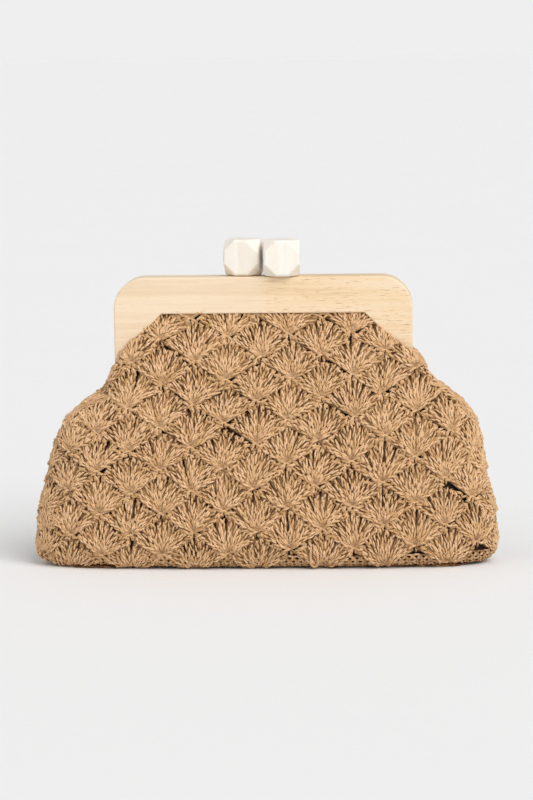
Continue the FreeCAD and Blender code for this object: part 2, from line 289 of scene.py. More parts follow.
class Straw:
    """Collects closed tubes of twisted paper straw into one mesh, each with its own tone and a UV map."""

    def __init__(self, seed):
        self.draw = np.random.default_rng(seed)
        self.points, self.faces, self.uv, self.tone = [], [], [], []
        self.count = 0

    def tube(self, path, radius, sides=5, taper=0.75, flat=0.8, tone=None):
        """A tube along smooth points, slightly flattened and thinner at its ends.

        The radius and the tone may change along it.
        """
        path = np.array(path, float)
        n = len(path)
        along = np.gradient(path, axis=0)
        along /= np.linalg.norm(along, axis=1, keepdims=True)
        guide = np.array([0.0, 0.0, 1.0]) if abs(along[n // 2][2]) < 0.9 else np.array([1.0, 0.0, 0.0])
        side = np.cross(along, guide)
        side /= np.linalg.norm(side, axis=1, keepdims=True)
        out = np.cross(side, along)
        turn = self.draw.uniform(0, 2 * pi) + np.arange(n) * self.draw.uniform(-0.5, 0.5)
        swell = taper + (1 - taper) * np.sin(np.linspace(0.12, pi - 0.12, n)) ** 0.5
        swell *= self.draw.uniform(0.9, 1.1, n)
        ring = np.arange(sides) * 2 * pi / sides
        c, s = np.cos(ring), np.sin(ring) * flat
        ct, st = np.cos(turn)[:, None], np.sin(turn)[:, None]
        a, b = c * ct - s * st, c * st + s * ct
        size = (radius * swell)[:, None, None]
        points = path[:, None, :] + size * (a[..., None] * side[:, None, :] + b[..., None] * out[:, None, :])
        first = self.count
        run = np.concatenate([[0], np.cumsum(np.linalg.norm(np.diff(path, axis=0), axis=1))])
        for i in range(n - 1):
            for j in range(sides):
                k = (j + 1) % sides
                low, high = first + i * sides, first + (i + 1) * sides
                self.faces.append((low + j, low + k, high + k, high + j))
                u0, u1 = j / sides, (j + 1) / sides
                self.uv += [(u0, run[i]), (u1, run[i]), (u1, run[i + 1]), (u0, run[i + 1])]
        last = first + (n - 1) * sides
        caps = ((range(first + sides - 1, first - 1, -1), run[0]), (range(last, last + sides), run[-1]))
        for corners, v in caps:
            self.faces.append(tuple(corners))
            self.uv += [(0.5, v)] * sides
        self.points.append(points.reshape(-1, 3))
        tone = self.draw.uniform(0, 1) if tone is None else tone
        self.tone += np.repeat(np.broadcast_to(tone, n), sides).tolist()
        self.count += n * sides

    def mesh(self, name):
        mesh = bpy.data.meshes.new(name)
        mesh.from_pydata(np.concatenate(self.points).tolist(), [], self.faces)
        mesh.uv_layers.new(name="UVMap").data.foreach_set("uv", np.array(self.uv).ravel())
        mesh.attributes.new("tone", "FLOAT", "POINT").data.foreach_set("value", self.tone)
        mesh.polygons.foreach_set("use_smooth", [True] * len(mesh.polygons))
        mesh.update()
        return mesh


def bowed(ends, bulge=(0, 0, 0), points=5, draw=None, wander=0.0):
    """Points along an arc between two ends, whose middle is moved by a bulge."""
    a, b = np.array(ends, float)
    t = np.linspace(0, 1, points)[:, None]
    path = a + (b - a) * t + np.array(bulge, float) * 4 * t * (1 - t)
    if draw is not None:
        path[1:-1] += draw.normal(0, wander, (points - 2, 3))
    return path


def shell_post(seed, settings):
    """One double crochet: three strands, short ones crossing over them, and its chain-like head."""
    straw = Straw(seed)
    draw = straw.draw
    r = settings.straw / 2
    high = settings.shell_height
    filler_radius = 2.7 * MM
    strokes, first_stroke, stroke_step = 6, 0.29, 0.124

    def lift(share):
        """How far the post stands out, at a share of its height."""
        share = min(max(share, 0.0), 1.0)
        return (1.2 - 0.6 * share + 1.2 * sin(pi * share ** 0.85)) * MM

    t = np.linspace(0, 1, 6)
    lean = draw.normal(0, 0.35 * MM)
    for place in draw.permutation((-1, 0, 1)):
        spread = (0.18 + 0.82 * t) * 1.5 * MM * place
        sway = draw.uniform(0.2, 0.4) * MM * t
        sway *= np.sin(draw.uniform(1.0, 1.8) * pi * t + draw.uniform(0, 2 * pi))
        out = np.array([lift(share) for share in t]) + draw.uniform(-0.6, 0.0) * MM * np.sin(pi * t)
        across = lean * np.sin(pi * t) + spread + sway
        path = np.stack([across, 0.7 * MM + t * (high - 2.0 * MM), out], axis=1)
        # Painted shade: each strand's tone falls from light at the foot to dark where the short strands cross
        # over it.
        tone = draw.uniform(0.6, 1.0) + (draw.uniform(0.0, 0.2) - 0.8) * np.minimum(t * 2.5, 1)
        straw.tube(path, r * draw.uniform(0.9, 1.1) * (0.8 + 0.25 * t), 4, 0.7, 0.72, tone)
    # A wide flat strand behind the post, given the darkest tone: painted shade in the gaps between the posts.
    ends = [(0, high * 0.3, -0.4 * MM), (draw.uniform(-0.8, 0.8) * MM, high * 1.03, -0.6 * MM)]
    straw.tube(bowed(ends, (0, 0, 0.5 * MM), 4), filler_radius, 4, 0.8, 0.3, 0.0)
    hand = draw.choice((-1, 1))
    for k in range(strokes):
        share = first_stroke + stroke_step * k + draw.uniform(-0.03, 0.03)
        swing = hand * (-1) ** k
        middle = lean * sin(pi * share) + swing * (0.2 + 0.8 * share) * draw.uniform(0.6, 1.1) * MM
        reach = draw.normal(0.3, 0.45) * MM * swing
        climb = draw.uniform(2.3, 3.5) * MM
        ends = [(middle - reach, high * share - climb, lift(share)),
                (middle + reach, high * share + climb, lift(share) + draw.uniform(-0.4, 0.3) * MM)]
        bulge = (draw.normal(0, 0.15 * MM), 0, draw.uniform(0.8, 1.4) * MM)
        path = bowed(ends, bulge, 5, draw, 0.16 * MM)
        straw.tube(path, r * draw.uniform(0.66, 0.9), taper=0.4, tone=draw.uniform(0.3, 1.0))
    half = settings.head_reach
    for side in (-1, 1):
        tip = (side * half * draw.uniform(0.35, 0.8), high + draw.uniform(-0.7, 0.6) * MM,
               draw.uniform(0.5, 1.1) * MM)
        ends = [(-side * 0.3 * half, high - draw.uniform(2.4, 4.2) * MM, 1.7 * MM), tip]
        straw.tube(bowed(ends, (-side * 0.5 * MM, 0, draw.uniform(0.5, 0.9) * MM), 4, draw, 0.2 * MM), r)
    return straw.mesh(f"post_{seed}")


def shell_foot(seed, settings):
    """What a shell grows from: an arch over its foot, two legs below it and short strands beside it."""
    straw = Straw(100 + seed)
    draw = straw.draw
    r = settings.straw / 2
    for side in (-1, 1):
        reach = draw.uniform(3.4, 5.0) * MM
        ends = [(side * reach, draw.uniform(-3.4, -1.6) * MM, 0.9 * MM),
                (-side * 0.5 * MM, 0.7 * MM, 1.9 * MM)]
        straw.tube(bowed(ends, (0, 0.6 * MM, 0.5 * MM), 5, draw, 0.12 * MM), r)
        ends = [(side * 0.6 * MM, 0.9 * MM, 1.6 * MM),
                (side * draw.uniform(0.9, 2.2) * MM, -4.4 * MM, 0.3 * MM)]
        straw.tube(bowed(ends, (side * 0.4 * MM, 0, 0.5 * MM), 5, draw, 0.12 * MM), r)
        for place in (3.2, 5.6, 8.0, 10.4):
            middle = np.array([side * place, -2.6 + 0.45 * place, 1.0]) * MM + draw.normal(0, 0.6 * MM, 3)
            angle, half = draw.normal(0.4, 0.5) * side, draw.uniform(1.8, 2.6) * MM
            reach = np.array([cos(angle) * half, sin(angle) * half, 0.0])
            straw.tube(bowed((middle - reach, middle + reach), (0, 0, 0.8 * MM), 4), r, taper=0.5)
    return straw.mesh(f"foot_{seed}")


def row_stitch(seed, settings):
    """A single crochet of a plain row: a V of two strands with a bar behind it."""
    straw = Straw(200 + seed)
    draw = straw.draw
    r = settings.straw / 2
    for side in (-1, 1):
        ends = [(0, -1.9 * MM, 0.7 * MM), (side * 2.3 * MM, 1.8 * MM, 0.4 * MM)]
        straw.tube(bowed(ends, (side * 0.5 * MM, 0, 0.7 * MM), 5, draw, 0.15 * MM), r)
    ends = [(-2.9 * MM, 1.2 * MM, 0.2 * MM), (2.9 * MM, 1.7 * MM, 0.5 * MM)]
    straw.tube(bowed(ends, (0, 0.5 * MM, 0.3 * MM), 5, draw, 0.15 * MM), r)
    return straw.mesh(f"row_stitch_{seed}")


def stitch_kinds(name, make, settings, count):
    """A collection of stitch variants that Geometry Nodes choose from. It is never linked to the scene."""
    collection = bpy.data.collections.new(name)
    for seed in range(count):
        collection.objects.link(bpy.data.objects.new(f"{name}_{seed}", make(seed, settings)))
    return collection


def remove_kinds(collection):
    for variant in list(collection.objects):
        mesh = variant.data
        bpy.data.objects.remove(variant)
        bpy.data.meshes.remove(mesh)
    bpy.data.collections.remove(collection)


class Nodes:
    """Adds nodes to a tree, each with its facts and with its inputs set or linked, in one line."""

    def add(self, kind, inputs=None, **facts):
        node = self.tree.nodes.new(kind)
        for key, value in facts.items():
            setattr(node, key, value)
        for key, value in (inputs or {}).items():
            if isinstance(value, bpy.types.NodeSocket):
                self.tree.links.new(value, node.inputs[key])
            else:
                node.inputs[key].default_value = value
        return node

    def maths(self, operation, a, b=0.0):
        return Nodes.add(self, "ShaderNodeMath", {0: a, 1: b}, operation=operation).outputs[0]


class Tree(Nodes):
    """A Geometry Nodes tree being built."""

    def __init__(self, name):
        self.tree = bpy.data.node_groups.new(name, "GeometryNodeTree")
        self.tree.is_modifier = True

    def input(self, name, kind, default=None):
        socket = self.tree.interface.new_socket(name, in_out="INPUT", socket_type="NodeSocket" + kind)
        if default is not None:
            socket.default_value = default

    def attribute(self, name, kind="FLOAT"):
        node = self.add("GeometryNodeInputNamedAttribute", {"Name": name}, data_type=kind)
        return node.outputs["Attribute"]

    def draw(self, kind, **inputs):
        """A random value for each place."""
        node = self.add("FunctionNodeRandomValue", inputs, data_type=kind)
        return next(socket for socket in node.outputs if socket.enabled)


def stitching_tree():
    """Sets several stitches round each point of a mesh, like the ribs of a fan, and makes them one mesh."""
    wander_turn, wander_height = 0.22, 0.4  # of the unevenness, in a stitch's direction and in its height
    outer_loss, outer_power = 0.15, 6.0  # how much shorter the outer stitches are, and how late they lift
    t = Tree("Stitches at points")
    for given in (("Geometry", "Geometry"), ("Stitches", "Int", 1), ("Spread", "Float", 0.0),
                  ("Unevenness", "Float", 0.0), ("Outer Lift", "Float", 0.0), ("Seed", "Int", 0),
                  ("Kinds", "Collection"), ("Finish", "Material")):
        t.input(*given)
    t.tree.interface.new_socket("Geometry", in_out="OUTPUT", socket_type="NodeSocketGeometry")
    given = t.add("NodeGroupInput").outputs
    loose, tight = t.maths("MULTIPLY", given["Unevenness"], -1.0), given["Unevenness"]
    copies = t.add("GeometryNodeDuplicateElements",
                   {"Geometry": given["Geometry"], "Amount": given["Stitches"]}, domain="POINT")
    gaps = t.maths("MAXIMUM", t.maths("SUBTRACT", given["Stitches"], 1.0), 1.0)
    place = t.maths("SUBTRACT", t.maths("DIVIDE", copies.outputs["Duplicate Index"], gaps), 0.5)
    fan = t.maths("MULTIPLY", place, given["Spread"])
    wander = t.draw("FLOAT", Min=loose, Max=tight, Seed=given["Seed"])
    angle = t.maths("ADD", fan, t.maths("MULTIPLY", wander, wander_turn))
    angle = t.maths("ADD", angle, t.attribute("turn"))
    turn = t.add("ShaderNodeCombineXYZ", {"Z": t.maths("MULTIPLY", angle, -1.0)})
    grown = t.attribute("grow")
    stretch = t.draw("FLOAT", Min=loose, Max=tight, Seed=t.maths("ADD", given["Seed"], 1.0))
    full = t.maths("SUBTRACT", 1.0, t.maths("MULTIPLY", t.maths("POWER", fan, 2.0), outer_loss))
    size = t.maths("ADD", t.maths("MULTIPLY", stretch, wander_height), 1.0)
    size = t.maths("MULTIPLY", t.maths("MULTIPLY", size, full), grown)
    scale = t.add("ShaderNodeCombineXYZ", {"X": grown, "Y": size, "Z": grown})
    pick = t.draw("INT", Min=0, Max=1000, Seed=t.maths("ADD", given["Seed"], 2.0))
    kinds = t.add("GeometryNodeCollectionInfo",
                  {"Collection": given["Kinds"], "Separate Children": True, "Reset Children": True})
    outer = t.maths("POWER", t.maths("ABSOLUTE", t.maths("MULTIPLY", place, 2.0)), outer_power)
    lift = t.add("ShaderNodeCombineXYZ", {"Z": t.maths("MULTIPLY", outer, given["Outer Lift"])})
    marked = t.add("GeometryNodeStoreNamedAttribute",
                   {"Geometry": copies.outputs["Geometry"], "Name": "lift", "Value": lift.outputs[0]},
                   data_type="FLOAT_VECTOR")
    stitches = t.add("GeometryNodeInstanceOnPoints", {
        "Points": marked.outputs["Geometry"], "Instance": kinds.outputs[0], "Pick Instance": True,
        "Instance Index": pick, "Rotation": turn.outputs[0], "Scale": scale.outputs[0],
    })
    moved = t.add("GeometryNodeTranslateInstances", {
        "Instances": stitches.outputs[0], "Translation": t.attribute("lift", "FLOAT_VECTOR"),
        "Local Space": False,
    })
    real = t.add("GeometryNodeRealizeInstances", {"Geometry": moved.outputs[0]})
    made = t.add("GeometryNodeSetMaterial", {"Geometry": real.outputs[0], "Material": given["Finish"]})
    t.add("NodeGroupOutput", {"Geometry": made.outputs[0]})
    return t.tree


def stitched(name, places, kinds, material, seed, stitches=1, spread=0.0, unevenness=0.0, lift=0.0):
    """A plain mesh, laid out flat, of the stitching tree run on places of across, up, out, turn and grow."""
    places = np.array(places, float)
    mesh = bpy.data.meshes.new(name + "_places")
    mesh.from_pydata(places[:, :3].tolist(), [], [])
    mesh.attributes.new("turn", "FLOAT", "POINT").data.foreach_set("value", places[:, 3])
    mesh.attributes.new("grow", "FLOAT", "POINT").data.foreach_set("value", places[:, 4])
    seedling = bpy.data.objects.new(name + "_places", mesh)
    bpy.context.scene.collection.objects.link(seedling)
    tree = bpy.data.node_groups.get("Stitches at points") or stitching_tree()
    modifier = seedling.modifiers.new("Stitches", "NODES")
    modifier.node_group = tree
    given = {"Stitches": stitches, "Spread": spread, "Unevenness": unevenness, "Outer Lift": lift,
             "Seed": seed, "Kinds": kinds, "Finish": material}
    for item in tree.interface.items_tree:
        if item.in_out == "INPUT" and item.name in given:
            modifier[item.identifier] = given[item.name]
    seedling.update_tag()
    depsgraph = bpy.context.evaluated_depsgraph_get()
    made = bpy.data.meshes.new_from_object(seedling.evaluated_get(depsgraph))
    seedling.modifiers.remove(modifier)
    bpy.data.objects.remove(seedling)
    bpy.data.meshes.remove(mesh)
    return made


def rgba(colour):
    """A colour with its alpha, or the socket that gives one."""
    return colour if isinstance(colour, bpy.types.NodeSocket) else (*colour, 1.0)


def tinted(colour, *shares):
    """A colour with its red, green and blue each multiplied."""
    return tuple(min(1.0, channel * share) for channel, share in zip(colour, shares))


class Finish(Nodes):
    """A procedural material being built from shader nodes."""

    def __init__(self, name, **shader):
        self.material = bpy.data.materials.new(name)
        self.material.use_nodes = True
        self.tree = self.material.node_tree
        self.shader = self.tree.nodes["Principled BSDF"]
        for key, value in shader.items():
            self.shader.inputs[key.replace("_", " ")].default_value = value

    def add(self, kind, inputs=None, **facts):
        return super().add("ShaderNode" + kind, inputs, **facts)

    def place(self, scale, source="Object", turn=(0, 0, 0)):
        """Object coordinates, or the UV map's, stretched to so many units a metre each way."""
        coordinates = self.add("TexCoord").outputs[source]
        return self.add("Mapping", {"Vector": coordinates, "Scale": scale, "Rotation": turn}).outputs[0]

    def noise(self, place, scale=1.0, detail=3.0, rough=0.5, warp=0.0):
        given = {"Vector": place, "Scale": scale, "Detail": detail, "Roughness": rough, "Distortion": warp}
        return self.add("TexNoise", given).outputs["Fac"]

    def ramp(self, value, *stops):
        """A colour ramp through stops of (position, colour)."""
        node = self.add("ValToRGB", {"Fac": value})
        elements = node.color_ramp.elements
        while len(elements) < len(stops):
            elements.new(0.5)
        for element, (position, colour) in zip(elements, stops):
            element.position = position
            element.color = rgba(colour)
        return node.outputs["Color"]

    def levels(self, value, low, high, to_low=0.0, to_high=1.0):
        given = {"Value": value, "From Min": low, "From Max": high, "To Min": to_low, "To Max": to_high}
        return self.add("MapRange", given, interpolation_type="SMOOTHSTEP").outputs["Result"]

    def mix(self, share, a, b, blend="MIX"):
        inputs = {0: share, 6: rgba(a), 7: rgba(b)}
        return self.add("Mix", inputs, data_type="RGBA", blend_type=blend).outputs[2]

    def bump(self, height, distance, strength):
        given = {"Height": height, "Distance": distance, "Strength": strength}
        return self.add("Bump", given).outputs["Normal"]

    def done(self, colour=None, rough=None, normal=None):
        for key, value in (("Base Color", colour), ("Roughness", rough), ("Normal", normal)):
            if value is not None:
                self.tree.links.new(value, self.shader.inputs[key])
        return self.material


def straw_finish(settings):
    """Twisted paper straw: every strand has its own tone, with fine streaks and creases along it. Strands
    lying deep in the work are darkened by a painted shade, and some strands' tones are set low as painted
    shade.
    """
    f = Finish("twisted_paper_straw", Sheen_Weight=0.05, Sheen_Roughness=0.4, Specular_IOR_Level=0.15)
    light, body, dark = (tuple(c) for c in (settings.straw_light, settings.straw_body, settings.straw_dark))
    tone = f.add("Attribute", attribute_name="tone").outputs["Fac"]
    seed = f.add("CombineXYZ", {"Z": f.maths("MULTIPLY", tone, 37.0)}).outputs[0]
    along = f.add("VectorMath", {0: f.place((4.0, 260.0, 1.0), "UV"), 1: seed}, operation="ADD").outputs[0]
    streaks = f.noise(along, 1.0, 4.0, 0.6)
    patches = f.noise(f.place((55.0, 55.0, 55.0)), 1.0, 3.0, 0.5)
    value = f.maths("ADD", f.maths("MULTIPLY", tone, 0.55), f.maths("MULTIPLY", streaks, 0.50))
    value = f.maths("ADD", value, f.maths("MULTIPLY", patches, 0.22))
    # The dark stop gives the straw's darker streaks and the painted shade of low-toned strands.
    colour = f.ramp(value, (0.28, dark), (0.50, body), (0.94, light))
    # Painted shade: strands that lay low in the flat work, by their stored depth, are multiplied towards the
    # straw's painted shade colour.
    deep = f.levels(f.add("Attribute", attribute_name="depth").outputs["Fac"], 0.2 * MM, 2.3 * MM)
    colour = f.mix(deep, f.mix(1.0, colour, tuple(settings.straw_painted_shade), "MULTIPLY"), colour)
    rough = f.levels(streaks, 0.3, 0.7, 0.62, 0.42)
    across = f.add("VectorMath", {0: f.place((9.0, 420.0, 1.0), "UV"), 1: seed}, operation="ADD").outputs[0]
    return f.done(colour, rough, f.bump(f.noise(across, 1.0, 2.0, 0.6), 0.25 * MM, 0.8))


def cloth_finish(name, colour, threads_per_metre=1400.0):
    """Plain-weave cotton: two sets of threads over and under each other, with slubs."""
    f = Finish(name, Sheen_Weight=0.25, Sheen_Roughness=0.5, Roughness=0.85)
    place = f.place((threads_per_metre,) * 3, "UV")
    warp = f.add("TexWave", {"Vector": place, "Scale": 0.16}, bands_direction="X").outputs["Fac"]
    weft = f.add("TexWave", {"Vector": place, "Scale": 0.16}, bands_direction="Y").outputs["Fac"]
    weave = f.maths("MULTIPLY", warp, weft)
    slubs = f.noise(f.place((90.0, 700.0, 1.0), "UV"), 1.0, 2.0, 0.5)
    tone = f.maths("ADD", f.maths("MULTIPLY", weave, 0.6), f.maths("MULTIPLY", slubs, 0.4))
    deep = tinted(colour, 0.45, 0.45, 0.45)
    pale = tinted(colour, 1.35, 1.35, 1.35)
    return f.done(f.ramp(tone, (0.15, deep), (0.7, pale)), None, f.bump(weave, 0.12 * MM, 0.6))


def frame_wood_finish(settings):
    """Pale rubberwood with fine straight grain, and short pores and warm streaks in its right half."""
    f = Finish("pale_rubberwood", Coat_Weight=0.12, Coat_Roughness=0.35, Specular_IOR_Level=0.4)
    light, warm, dark = (tuple(c) for c in (settings.wood_light, settings.wood_warm, settings.wood_dark))
    sideways = f.add("SeparateXYZ", {0: f.add("TexCoord").outputs["Object"]}).outputs["X"]
    right = f.levels(sideways, -0.002, 0.006)
    broad = f.noise(f.place((5.0, 60.0, 90.0)), 1.0, 4.0, 0.55, 0.3)
    grain = f.noise(f.place((16.0, 420.0, 520.0)), 1.0, 5.0, 0.65)
    value = f.maths("ADD", f.maths("MULTIPLY", broad, 0.6), f.maths("MULTIPLY", grain, 0.4))
    left_colour = f.ramp(value, (0.36, tuple(0.5 * (a + b) for a, b in zip(light, dark))), (0.60, light))
    right_colour = f.ramp(value, (0.33, dark), (0.50, warm), (0.64, light))
    colour = f.mix(right, left_colour, right_colour)
    pores = f.noise(f.place((150.0, 1900.0, 1900.0)), 1.0, 2.0, 0.5)
    pores = f.levels(pores, 0.60, 0.72)
    share = f.levels(sideways, -0.012, 0.012, 0.20, 0.75)
    colour = f.mix(f.maths("MULTIPLY", pores, share), colour, tinted(dark, 0.76, 0.56, 0.34))
    rough = f.levels(grain, 0.3, 0.7, 0.5, 0.38)
    normal = f.bump(f.maths("SUBTRACT", f.maths("MULTIPLY", grain, 0.5), pores), 0.06 * MM, 0.5)
    return f.done(colour, rough, normal)


def bead_wood_finish(settings):
    """Bleached, sanded beech: nearly white, with faint upright grain and tiny flecks."""
    f = Finish("bleached_beech", Coat_Weight=0.08, Coat_Roughness=0.4, Specular_IOR_Level=0.4)
    pale = tuple(settings.bead_pale)
    grain = f.noise(f.place((170.0, 170.0, 22.0)), 1.0, 4.0, 0.55, 0.4)
    flecks = f.levels(f.noise(f.place((900.0, 900.0, 160.0)), 1.0, 2.0, 0.5), 0.62, 0.74)
    colour = f.ramp(grain, (0.30, tinted(pale, 0.95, 0.92, 0.87)), (0.62, pale))
    colour = f.mix(f.maths("MULTIPLY", flecks, 0.25), colour, tinted(pale, 0.7, 0.58, 0.45))
    return f.done(colour, f.levels(grain, 0.3, 0.7, 0.52, 0.42), f.bump(grain, 0.05 * MM, 0.4))


def steel_finish():
    """Nickel-plated steel with fine rubbed lines and a few worn patches."""
    f = Finish("nickel_plated_steel", Metallic=1.0)
    lines = f.noise(f.place((300.0, 4000.0, 4000.0)), 1.0, 2.0, 0.6)
    worn = f.noise(f.place((400.0, 400.0, 400.0)), 1.0, 3.0, 0.5)
    colour = f.ramp(worn, (0.35, (0.46, 0.44, 0.40)), (0.6, (0.66, 0.65, 0.62)))
    return f.done(colour, f.levels(lines, 0.3, 0.7, 0.24, 0.42), f.bump(lines, 0.02 * MM, 0.3))


def paper_cord_finish():
    """Twisted kraft paper cord."""
    f = Finish("kraft_paper_cord", Roughness=0.8)
    ply = f.add("TexWave", {"Vector": f.place((420.0, 420.0, 420.0)), "Scale": 1.0, "Distortion": 1.5},
                bands_direction="DIAGONAL").outputs["Fac"]
    colour = f.ramp(ply, (0.1, (0.30, 0.20, 0.11)), (0.8, (0.62, 0.46, 0.28)))
    return f.done(colour, None, f.bump(ply, 0.2 * MM, 0.8))


def board_finish():
    """Grey-brown bag board with its fibres showing."""
    f = Finish("bag_board", Roughness=0.9)
    fibres = f.noise(f.place((260.0, 700.0, 700.0)), 1.0, 5.0, 0.7, 0.6)
    colour = f.ramp(fibres, (0.3, (0.30, 0.24, 0.17)), (0.7, (0.52, 0.44, 0.33)))
    return f.done(colour, None, f.bump(fibres, 0.1 * MM, 0.6))


def floor_finish(settings):
    """The plain pale floor."""
    f = Finish("pale_floor", Roughness=0.9, Specular_IOR_Level=0.1)
    mottle = f.noise(f.place((3.0, 3.0, 3.0)), 1.0, 2.0, 0.5)
    pale = tuple(settings.floor_pale)
    return f.done(f.ramp(mottle, (0.3, tinted(pale, 0.995, 0.995, 0.995)), (0.7, pale)))


def finished(mesh, material):
    mesh.materials.clear()
    mesh.materials.append(material)


def new_piece(name, mesh, material):
    finished(mesh, material)
    piece = bpy.data.objects.new(name, mesh)
    bpy.context.scene.collection.objects.link(piece)
    return piece


def coordinates(mesh):
    """The places of a mesh's points, a row each."""
    places = np.empty(len(mesh.vertices) * 3)
    mesh.vertices.foreach_get("co", places)
    return places.reshape(-1, 3)


def wavy(across, up, seed, size, waves=5):
    """A smooth wandering value at flat places, the sum of a few slow waves."""
    shortest, longest = 50 * MM, 130 * MM
    draw = np.random.default_rng(seed)
    total = np.zeros(np.shape(across))
    for _ in range(waves):
        angle, length, phase = draw.uniform(0, pi), draw.uniform(shortest, longest), draw.uniform(0, 2 * pi)
        total += np.sin((across * np.cos(angle) + up * np.sin(angle)) * 2 * pi / length + phase)
    return size * total / waves ** 0.5


def shell_places(settings):
    """Where every shell of the front and of the back grows from: across, up, out, turn and grow for each."""
    draw = np.random.default_rng(settings.seed)
    sides = {name: Side(name) for name in SIDES}
    found = {name: [] for name in SIDES}
    rows = int((sides["front"].top - settings.first_row) / settings.row_height) + 2
    for row in range(-2, rows):
        ends = {}
        for name, side in sides.items():
            shift = settings.row_shift + (0.5 if row % 2 else 0.0) * settings.pitch
            shift += 0.0 if name == "front" else settings.pitch * BACK_SHIFT
            tilt = settings.row_tilt if name == "front" else -settings.row_tilt
            line = []
            for column in range(-6, 7):
                across = shift + column * settings.pitch + draw.normal(0, 0.8 * MM)
                up = settings.first_row + row * settings.row_height + tilt * across + draw.normal(0, 0.5 * MM)
                edge = side.edge_at(max(up, settings.first_row))
                edge += EDGE_MARGINS[int(side.height_at(up) > SEAM_TOP[0])]
                if abs(across) <= edge and LOWEST_FOOT < up < side.top - TOP_MARGIN:
                    line.append([across, up, 0.0, draw.normal(tilt, 0.05), draw.uniform(0.96, 1.05)])
            ends[name] = line
        for end in (-1, 1):
            if not all(ends.values()):
                continue
            last = {name: max(line, key=lambda place: end * place[0]) for name, line in ends.items()}
            up = last["front"][1]
            if sides["front"].height_at(up) > SEAM_TOP[0] or up < LOWEST_FOOT:
                continue
            edge = sides["front"].edge_at(max(up, settings.first_row))
            gap = {name: edge - abs(place[0]) for name, place in last.items()}
            total = sum(gap.values())
            if total > SEAM_GAP[1] * settings.pitch:
                across = end * (edge + (gap["back"] - gap["front"]) / 2)
                ends["front"].append([across, up, 0.0, 0.0, 1.0])
            elif total < SEAM_GAP[0] * settings.pitch:
                name = min(gap, key=gap.get)
                ends[name].remove(last[name])
        for name, line in ends.items():
            found[name] += line
    return sides, found


def settled(places):
    """Places on the purse after it has slumped a little, its left shoulder and rim unlike its right."""
    x, z = places[:, 0].copy(), places[:, 2].copy()
    rightness = ease(-60 * MM, 60 * MM, x)
    push = RIGHT_PUSH * hump(60, 100, 132, 158, z) * rightness
    push += LEFT_PUSH * hump(112, 124, 132, 158, z) * (1 - rightness)
    shoulder = hump(55, 95, 136, 160, z) * (1 - ease(150 * MM, 155 * MM, z))
    rim = hump(60, 105, 125, 150, -x) * (1 - ease(4 * MM, 40 * MM, z))
    places[:, 0] += push
    places[:, 2] += SHOULDER_TILT * x * shoulder + RIM_LIFT * rim
    return places


def wrapped(mesh, side, seed, sink, ripple):
    """Bends a flat mesh onto one side of the purse, first letting it wander a little as hand work does."""
    flat = coordinates(mesh)
    across, up = flat[:, 0].copy(), flat[:, 1].copy()
    flat[:, 0] += wavy(across, up, seed, ripple * 1.3)
    flat[:, 1] += wavy(across, up, seed + 1, ripple * 0.9)
    flat[:, 2] += wavy(across, up, seed + 2, ripple * 0.5)
    # The flat depth is kept for the straw's painted shade on strands lying deep in the work.
    mesh.attributes.new("depth", "FLOAT", "POINT").data.foreach_set("value", flat[:, 2].copy())
    flat[:, 2] -= sink
    mesh.vertices.foreach_set("co", settled(side.wrap(flat)).ravel())
    mesh.update()


def parted(mesh, name, material, heights):
    """Pieces from one mesh, lowest first: each takes the tubes whose lowest point is between two heights."""
    edges = np.empty(len(mesh.edges) * 2, int)
    mesh.edges.foreach_get("vertices", edges)
    ends = edges.reshape(-1, 2).T
    tube = np.arange(len(mesh.vertices))
    while True:
        before = tube.copy()
        low = tube[ends].min(axis=0)
        for end in ends:
            np.minimum.at(tube, end, low)
        if (tube == before).all():
            break
    z = coordinates(mesh)[:, 2]
    lowest = np.full(len(z), np.inf)
    np.minimum.at(lowest, tube, z)
    part = np.searchsorted(heights, lowest[tube])
    pieces = []
    for index in range(len(heights) + 1):
        copy = mesh.copy()
        copy.name = f"{name}_{index + 1}"
        b = bmesh.new()
        b.from_mesh(copy)
        b.verts.ensure_lookup_table()
        bmesh.ops.delete(b, geom=[b.verts[i] for i in np.nonzero(part != index)[0]], context="VERTS")
        b.to_mesh(copy)
        b.free()
        pieces.append(new_piece(copy.name, copy, material))
    bpy.data.meshes.remove(mesh)
    return pieces


def sheet_mesh(name, places, faces, flat):
    """A sheet without thickness, whose UV map is its places laid out flat."""
    mesh = bpy.data.meshes.new(name)
    mesh.from_pydata(places, [], faces)
    loops = np.empty(len(mesh.loops), int)
    mesh.loops.foreach_get("vertex_index", loops)
    mesh.uv_layers.new(name="UVMap").data.foreach_set("uv", np.array(flat)[loops, :2].ravel())
    return mesh


def cloth_between(side, name, out, thickness, low, high, material, reach=0.0, wave=0.0, seed=0):
    """A sheet that follows one side of the purse at a distance from its face, with a real thickness."""
    ups = np.linspace(low, high, int((high - low) / CLOTH_STEP) + 1)
    columns = int(2 * side.edge.max() / CLOTH_STEP) // 2 * 2
    width = columns + 1
    shares = np.linspace(-1, 1, width)
    edges = side.edge_at(ups) + reach
    across = np.outer(edges, shares).ravel()
    flat = np.stack([across, np.repeat(ups, width), np.full(len(across), out)], axis=1)
    if wave:
        flat[:, 2] += wavy(flat[:, 0] * 2, flat[:, 1] * 1.4, seed, wave)
    faces = []
    for i in range(len(ups) - 1):
        for a in range(i * width, i * width + columns):
            faces.append((a, a + 1, a + width + 1, a + width)[::int(-side.sign)])
    mesh = sheet_mesh(name, settled(side.wrap(flat)).tolist(), faces, flat)
    return thickened(name, mesh, thickness, material)


def colour_property(name, description, default):
    return bpy.props.FloatVectorProperty(
        name=name, description=description, default=default, subtype="COLOR", size=3, min=0.0, max=1.0)


def length_property(name, description, default):
    return bpy.props.FloatProperty(
        name=name, description=description, default=default, unit="LENGTH", precision=5)


def angle_property(name, description, degrees):
    return bpy.props.FloatProperty(
        name=name, description=description, default=radians(degrees), subtype="ANGLE")


def number_property(name, description, default):
    return bpy.props.FloatProperty(name=name, description=description, default=default)


def count_property(name, description, default, low=0):
    return bpy.props.IntProperty(name=name, description=description, default=default, min=low)


